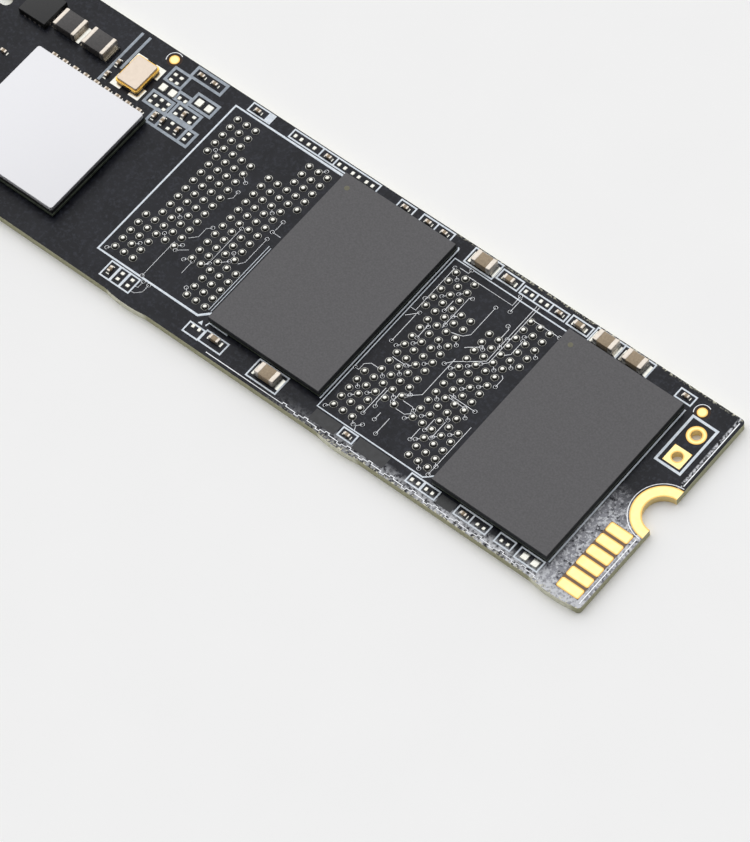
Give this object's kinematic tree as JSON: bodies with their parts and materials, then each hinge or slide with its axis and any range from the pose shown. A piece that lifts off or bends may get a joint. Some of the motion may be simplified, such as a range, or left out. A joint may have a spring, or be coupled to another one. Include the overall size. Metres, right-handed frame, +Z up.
{
  "type": "m2 nvme solid-state drive",
  "caption": "Bare card-edge solid-state drive: thin board with moulded memory packages, a lidded controller, chip capacitors, a keyed contact tongue and a plated screw notch.",
  "frame": {"origin": "middle of the card's underside", "axes": "+X along the card towards the screw notch, +Y towards the long edge nearest the key slot, +Z up from the side that carries the parts"},
  "size_m": [0.08, 0.0222, 0.0021],
  "materials": {
    "solder_mask_card": "black solder mask over glass-epoxy laminate",
    "gilded_copper": "gold-plated copper foil",
    "solder": "bright tin solder",
    "package_laminate": "dark resin laminate",
    "mould_epoxy": "fine-grained moulded epoxy",
    "nickel_plate": "satin nickel plate",
    "gilded_ceramic": "ceramic with a gilded seam rim",
    "crystal_lid_metal": "satin nickel-iron lid",
    "ceramic_block": "fired capacitor ceramic",
    "ferrite_block": "pressed ferrite",
    "tinned_metal": "tin-plated ends"
  },
  "bodies": {
    "root": {"bare_land_solder": "solder", "bare_site_1_bumps": "solder", "bare_site_2_bumps": "solder", "bulk_capacitor_1": "ceramic_block", "bulk_capacitor_1_ends": "tinned_metal", "bulk_capacitor_2": "ceramic_block", "bulk_capacitor_2_ends": "tinned_metal", "bulk_capacitor_3": "ceramic_block", "bulk_capacitor_3_ends": "tinned_metal", "bulk_capacitor_4": "ceramic_block", "bulk_capacitor_4_ends": "tinned_metal", "camera_targets": "gilded_copper", "chip_solder": "solder", "circuit_board": "solder_mask_card", "controller_balls": "solder", "controller_heat_spreader": "nickel_plate", "controller_mould": "mould_epoxy", "controller_substrate": "package_laminate", "crystal_lid": "crystal_lid_metal", "crystal_solder": "solder", "crystal_tub": "gilded_ceramic", "edge_contacts_top": "gilded_copper", "edge_contacts_under": "gilded_copper", "filter_capacitor_1": "ceramic_block", "filter_capacitor_1_ends": "tinned_metal", "filter_capacitor_2": "ceramic_block", "filter_capacitor_2_ends": "tinned_metal", "filter_capacitor_3": "ceramic_block", "filter_capacitor_3_ends": "tinned_metal", "jumper_eyelet_round": "gilded_copper", "jumper_eyelet_square": "gilded_copper", "link_capacitors": "ceramic_block", "link_capacitors_ends": "tinned_metal", "memory_1_balls": "solder", "memory_1_mould": "mould_epoxy", "memory_1_substrate": "package_laminate", "memory_2_balls": "solder", "memory_2_mould": "mould_epoxy", "memory_2_substrate": "package_laminate", "mounting_ring": "gilded_copper", "power_inductor_1": "ferrite_block", "power_inductor_1_ends": "tinned_metal", "power_inductor_2": "ferrite_block", "power_inductor_2_ends": "tinned_metal", "regulator_leads": "tinned_metal", "regulator_mould": "mould_epoxy", "service_pads": "gilded_copper", "small_capacitors": "ceramic_block", "small_capacitors_ends": "tinned_metal"}
  },
  "joints": []
}
